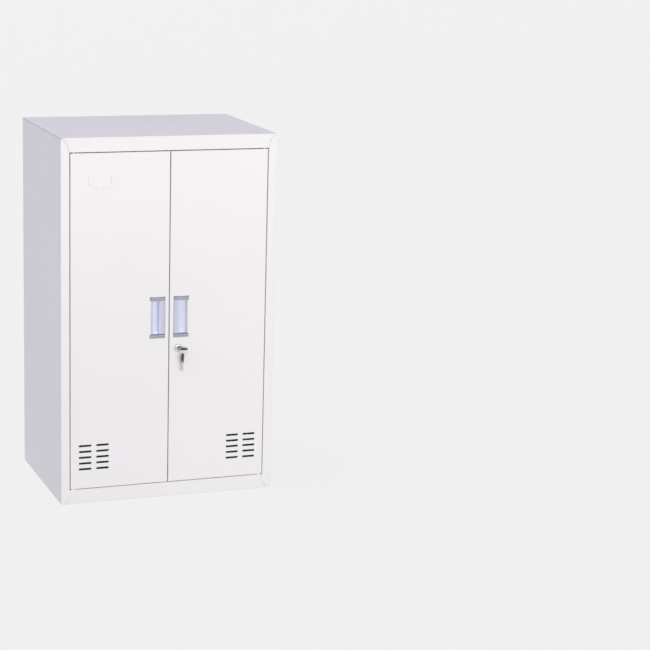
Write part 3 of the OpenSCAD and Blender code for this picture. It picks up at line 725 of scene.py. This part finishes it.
def key_steel_mesh(length=28.0):
    """Eye, bow neck and a cut blade; bitting along its right edge, a milled groove on both faces."""
    edge = [(3.5, -9.5), (3.5, -12.6), (2.3, -14.2), (2.3, -15.2), (3.3, -16.9), (3.3, -17.5), (1.7, -19.4), (1.7, -20.4),
            (3.2, -22.3), (3.2, -22.9), (2.1, -24.2), (2.1, -24.9), (2.7, -26.0), (1.6, -27.6), (0.9, -28.0)]
    outline = [(-0.9, -length), (-2.3, -27.2), (-3.5, -25.4), (-3.5, -1.6)]
    for k in range(13):
        a = math.pi + 0.42 - (math.pi + 0.84) * k / 12
        outline.append((3.9 * math.cos(a), 3.9 * math.sin(a)))
    outline += [(3.5, -1.6)] + edge
    me = slab_of("steel", outline, -1, 1)
    bm = bmesh.new()
    bm.from_mesh(me)
    rim = [e for e in bm.edges if e.calc_face_angle(0) > 1.2 and abs(e.verts[0].co.z - e.verts[1].co.z) < 1e-6]
    bmesh.ops.bevel(bm, geom=rim, offset=0.18 * MM, segments=2, profile=0.5, affect="EDGES")
    bm.to_mesh(me)
    bm.free()
    me = combine("DIFFERENCE", me, lathe("eye", [(0, -4), (1.3, -4), (1.3, 4), (0, 4)], 32))
    for s in (1, -1):
        a, b = sorted((s * 0.62, s * 2.2))
        me = combine("DIFFERENCE", me, block("groove", (-1.9, -29.5, a), (-0.5, -7.5, b), 0.12))
    me = combine("DIFFERENCE", me, block("groove", (0.6, -29.5, 0.68), (1.5, -9.5, 2.2), 0.1))
    return smooth_shade(me, 34)


def turn(axis, degrees):
    return Matrix.Rotation(math.radians(degrees), 4, axis)


def at(x, y, z):
    return Matrix.Translation((x * MM, y * MM, z * MM))


head, steel = key_head_mesh(), key_steel_mesh()
rivet = lathe("rivet", [(0, -2.8), (0.8, -2.78), (1.15, -2.6), (1.25, -2.35), (1.25, 2.35), (1.15, 2.6), (0.8, 2.78), (0, 2.8)], 32)
rivet = smooth_shade(rivet, 40)
key_place = at(LOCK_X, KEY_Y, LOCK_Z)
spare_place = at(*spare_at) @ turn("Z", -32) @ turn("Y", 90)
piece("key_head_moulding", moved(head, key_place), "key_head")
piece("key_steel_blade", moved(steel, key_place @ turn("Z", 180)), "key_blade")
piece("key_head_rivet", moved(rivet, key_place), "key_rivet")
piece("spare_key_moulding", moved(head, spare_place @ turn("Z", 180)), "spare_key_head")
piece("spare_key_steel", moved(steel, spare_place @ turn("Z", 90)), "spare_key_blade")
piece("spare_key_head_rivet", moved(rivet, spare_place), "spare_key_rivet")


def split_ring_mesh():
    """Two turns of flattened wire side by side, with its two blunt ends and the step between turns."""
    along, side_dir = (math.cos(RING_DIR), math.sin(RING_DIR)), (math.sin(RING_DIR), -math.cos(RING_DIR))
    n, total = 168, 4 * math.pi - 0.10
    start = math.radians(150)
    rings = []
    for i in range(n + 1):
        a = total * i / n
        s = min(1.0, max(0.0, (a - 2 * math.pi + 0.42) / 0.84))
        off = -0.34 + 0.68 * s * s * (3 - 2 * s)
        c, q = math.cos(start + a), math.sin(start + a)
        close = 0.55 if i in (0, n) else 1.0
        ring = []
        for k in range(12):
            b = 2 * math.pi * k / 12
            r = RING_R + 0.56 * math.cos(b) * close
            w = off + 0.33 * math.sin(b) * close
            ring.append((ring_mid[0] + along[0] * r * c + side_dir[0] * w,
                         ring_mid[1] + along[1] * r * c + side_dir[1] * w, RING_Z + r * q))
        rings.append(ring)
    return smooth_shade(loft("ring", rings), 50)


piece("key_split_ring", split_ring_mesh(), "key_ring")


# ------------------------------------------------------------------ lock

def lock_body_mesh():
    bezel_outline = [(5.6, 0.4), (9.0, 0.2), (10.4, 0.0), (10.4, 0.7), (10.15, 1.3), (9.7, 1.9), (9.1, 2.4), (8.3, 2.75), (7.4, 2.95),
                     (6.6, 2.98), (6.15, 2.85), (5.85, 2.55), (5.6, 2.1)]
    bezel = lathe("bezel", bezel_outline, 96, closed=True)
    ridges = []
    y = -18.9
    while y < -1.0:
        ridges += [(7.55, y), (8.0, y + 0.5)]
        y += 1.0
    barrel = lathe("barrel", [(5.6, -19.0), (7.5, -19.0)] + ridges + [(7.9, 0.5), (5.6, 0.5)], 64, closed=True)
    barrel = combine("INTERSECT", barrel, block("flats", (-12, -7.2, -25), (12, 7.2, 5)))
    me = combine("UNION", bezel, barrel)
    # local Z comes out of the door, local Y is up
    return smooth_shade(moved(me, at(LOCK_X, FRONT, LOCK_Z) @ turn("X", 90)), 38)


piece("lock_bezel_and_barrel", lock_body_mesh(), "lock_body")


# ------------------------------------------------------------------ hinge pins and springs

PIN_X, PIN_Y, PIN_R = 264.6, FRONT + 5.5, 2.5
OPEN_TOP = 961.3
TOP_EAR = OPEN_TOP - 2.4 - 1.1
LOW_EAR = TOP_EAR - 33


def hinge_pin_mesh():
    z0 = LOW_EAR - 9
    bend = 4.2
    out = (math.cos(math.radians(143)), math.sin(math.radians(143)))
    path, rad = [], []
    for z, r in ((OPEN_TOP + 6, 1.9), (OPEN_TOP + 5.6, 2.3), (OPEN_TOP + 5, PIN_R)):
        path.append((0, 0, z))
        rad.append(r)
    for k in range(1, 6):
        path.append((0, 0, OPEN_TOP + 5 + (z0 + bend - OPEN_TOP - 5) * k / 6))
        rad.append(PIN_R)
    for k in range(13):
        a = math.pi / 2 * k / 12
        d = bend * (1 - math.cos(a))
        path.append((out[0] * d, out[1] * d, z0 + bend - bend * math.sin(a)))
        rad.append(PIN_R)
    for d, r in ((10, PIN_R), (14, PIN_R), (16.8, PIN_R), (17.4, 2.3), (17.85, 1.85), (18.0, 1.3)):
        path.append((out[0] * d, out[1] * d, z0))
        rad.append(r)
    rod = tube("rod", path, rad, 28)
    collar_top = TOP_EAR - 1.5 - 0.05
    collar = lathe("collar", [(2.0, collar_top - 2), (3.9, collar_top - 2), (4.1, collar_top - 1.8), (4.1, collar_top - 0.2),
                              (3.9, collar_top), (2.0, collar_top)], 40, closed=True)
    me = combine("UNION", rod, collar)
    return smooth_shade(moved(me, at(PIN_X, PIN_Y, 0)), 40)


def spring_mesh():
    wire, r = 0.5, 3.45
    lo, hi = LOW_EAR + 1.5 + wire + 0.1, TOP_EAR - 1.5 - 2.2 - wire
    turns, n = 8.5, 8 * 30
    path = []
    for i in range(n + 1):
        t = turns * i / n
        if t < 1:
            z = 1.02 * t
        elif t > turns - 1:
            z = (hi - lo) - 1.02 * (turns - t)
        else:
            z = 1.02 + (hi - lo - 2.04) * (t - 1) / (turns - 2)
        a = 2 * math.pi * t
        path.append((r * math.cos(a), r * math.sin(a), lo + z))
    return smooth_shade(moved(tube("wire", path, wire, 12), at(PIN_X, PIN_Y, 0)), 60)


pin, spring = hinge_pin_mesh(), spring_mesh()
for side, flip in (("left", True), ("right", False)):
    piece(side + "_hinge_pin_rod", mirrored(pin) if flip else pin, side + "_hinge_pin")
    coil = piece(side + "_hinge_spring_coil", mirrored(spring) if flip else spring, side + "_hinge_spring")
    lo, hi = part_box(side + "_hinge_spring")
    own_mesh(coil)


# ------------------------------------------------------------------ screws and bumpers

def screw_mesh(length):
    """Pan head with a cross recess and a threaded shank; the head points along +Z."""
    prof = [(0, 2.26), (1.2, 2.24), (2.2, 2.13), (3.0, 1.85), (3.6, 1.4), (3.92, 0.85), (4.0, 0.3), (3.95, 0.02), (2.0, 0.0)]
    z = -0.3
    while z > -length + 1.2:
        prof += [(2.0, z), (1.65, z - 0.35)]
        z -= 0.7
    prof += [(1.7, -length + 0.9), (1.1, -length + 0.1), (0, -length)]
    me = lathe("screw", prof, 36)
    for size in ((1.9, 0.36), (0.36, 1.9)):
        me = combine("DIFFERENCE", me, block("cross", (-size[0], -size[1], 1.0), (size[0], size[1], 5.0)))
    return smooth_shade(me, 40)


screws = []
for x, z, length in [(s * 292, z, 6) for s in (-1, 1) for z in (60, 280, 500, 720, 940)] + \
        [(x, 988, 6) for x in (-200, 0, 200)] + [(x, 25, 8) for x in (-200, 0, 200)]:
    screws.append((length, at(x, 225, z) @ turn("X", -90) @ turn("Z", (x * 7 + z * 3) % 90)))
shapes = {length: screw_mesh(length) for length in (6, 8)}
piece("back_panel_screws", joined("screws", *[moved(shapes[length], m) for length, m in screws]), "panel_screws")

bumpers = []
lo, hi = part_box("door_bumpers")
thick = (hi.y - lo.y) / MM
for x in (-20, 20):
    for z in (38.7 + 4.15, OPEN_TOP - 8):
        prof = [(0, thick), (1.6, thick - 0.02), (2.5, thick - 0.12), (3.2, thick - 0.4), (3.7, thick - 0.9), (3.95, max(0.6, thick - 1.6)), (4, 0.3), (4, 0), (0, 0)]
        bumpers.append(moved(lathe("bumper", prof, 40), at(x, hi.y / MM, z) @ turn("X", 90)))
piece("door_stop_bumpers", smooth_shade(joined("bumpers", *bumpers), 40), "door_bumpers")

# the rest: brackets, bushes, washers, nut, cam and plug
for name in nodes:
    if name not in done:
        piece(name + "_part", softened(name, 0.25, 0.1, 0.2, 0.0004, thin=0.0011, segments=2), name)


# ------------------------------------------------------------------ studio

def plain(name, colour, glow=None):
    m = bpy.data.materials.new(name)
    m.use_nodes = True
    p = m.node_tree.nodes["Principled BSDF"]
    p.inputs["Base Color"].default_value = (*colour, 1)
    p.inputs["Roughness"].default_value = 0.9
    p.inputs["Specular IOR Level"].default_value = 0.1
    if glow:
        p.inputs["Emission Color"].default_value = (1, 1, 1, 1)
        p.inputs["Emission Strength"].default_value = glow
    return m


me = bpy.data.meshes.new("floor")
s = 60
me.from_pydata([(-s, -s, -0.0004), (s, -s, -0.0004), (s, s, -0.0004), (-s, s, -0.0004)], [], [(0, 1, 2, 3)])
floor = bpy.data.objects.new("floor", me)
scene.collection.objects.link(floor)
me.materials.append(plain("pale_floor", (0.07, 0.07, 0.07), 0.807))
floor.visible_diffuse = False

# soft surroundings: lightest overhead, paler to the left than to the right
world = bpy.data.worlds.new("studio")
scene.world = world
world.use_nodes = True
wt = world.node_tree
bg = wt.nodes["Background"]
where = wt.nodes.new("ShaderNodeTexCoord")
lean = wt.nodes.new("ShaderNodeVectorMath")
lean.operation = "DOT_PRODUCT"
wt.links.new(where.outputs["Generated"], lean.inputs[0])
lean.inputs[1].default_value = (-0.30, 0.0, 0.55)
tone = wt.nodes.new("ShaderNodeValToRGB")
tone.color_ramp.interpolation = "EASE"
shades = ((0.0, 0.16), (0.20, 0.55), (0.55, 1.0))
while len(tone.color_ramp.elements) < len(shades):
    tone.color_ramp.elements.new(0.5)
for e, (pos, v) in zip(tone.color_ramp.elements, shades):
    e.position = pos
    e.color = (0.915 * v, 0.885 * v, v, 1)
wt.links.new(lean.outputs["Value"], tone.inputs[0])
wt.links.new(tone.outputs[0], bg.inputs[0])
bg.inputs[1].default_value = 1.19


def area(name, loc, target, size, power, colour=(1, 1, 1)):
    data = bpy.data.lights.new(name, "AREA")
    data.shape = "RECTANGLE"
    data.size, data.size_y = size
    data.energy = power
    data.color = colour
    ob = bpy.data.objects.new(name, data)
    ob.location = loc
    ob.rotation_mode = "QUATERNION"
    ob.rotation_quaternion = (Vector(target) - Vector(loc)).to_track_quat("-Z", "Y")
    scene.collection.objects.link(ob)
    ob.light_linking.receiver_collection = lit
    return ob


area("key", (4.2, -4.4, 1.15), (0, -0.2, 0.5), (1.4, 1.4), 24, (1, 1, 0.95))
area("front", (0.7, -5.4, 1.35), (0, -0.2, 0.5), (4.0, 2.6), 157, (1, 0.995, 0.935))
# a low fill for the right side and the back, below the lid's height
area("fill", (4.4, 2.3, 0.52), (0, 0.1, 0.5), (1.2, 0.9), 55, (1, 0.985, 0.97)).visible_camera = False

# the photograph's camera, from its fitted direction, place and focal length
AZ, EL, ROLL = -21.194, 12.651, 1.557
PLACE = (-1.5528, -5.3996, 1.7048)
FOCAL_PX = 2033.4
a, e, r = (math.radians(v) for v in (AZ, EL, ROLL))
back = Vector((math.sin(a) * math.cos(e), -math.cos(a) * math.cos(e), math.sin(e)))
right = (-back).cross(Vector((0, 0, 1))).normalized()
up = right.cross(-back)
c, q = math.cos(r), math.sin(r)
down = -up
right2 = right * c - down * q
down2 = right * q + down * c
cam_data = bpy.data.cameras.new("camera")
cam_data.sensor_width = 36
cam_data.lens = FOCAL_PX * 36 / 650
cam_data.clip_start, cam_data.clip_end = 0.05, 200
cam = bpy.data.objects.new("camera", cam_data)
scene.collection.objects.link(cam)
m3 = Matrix((right2, -down2, back)).transposed()
cam.matrix_world = Matrix.Translation(PLACE) @ m3.to_4x4()
scene.camera = cam
scene.view_settings.view_transform = "Standard"
scene.view_settings.look = "None"
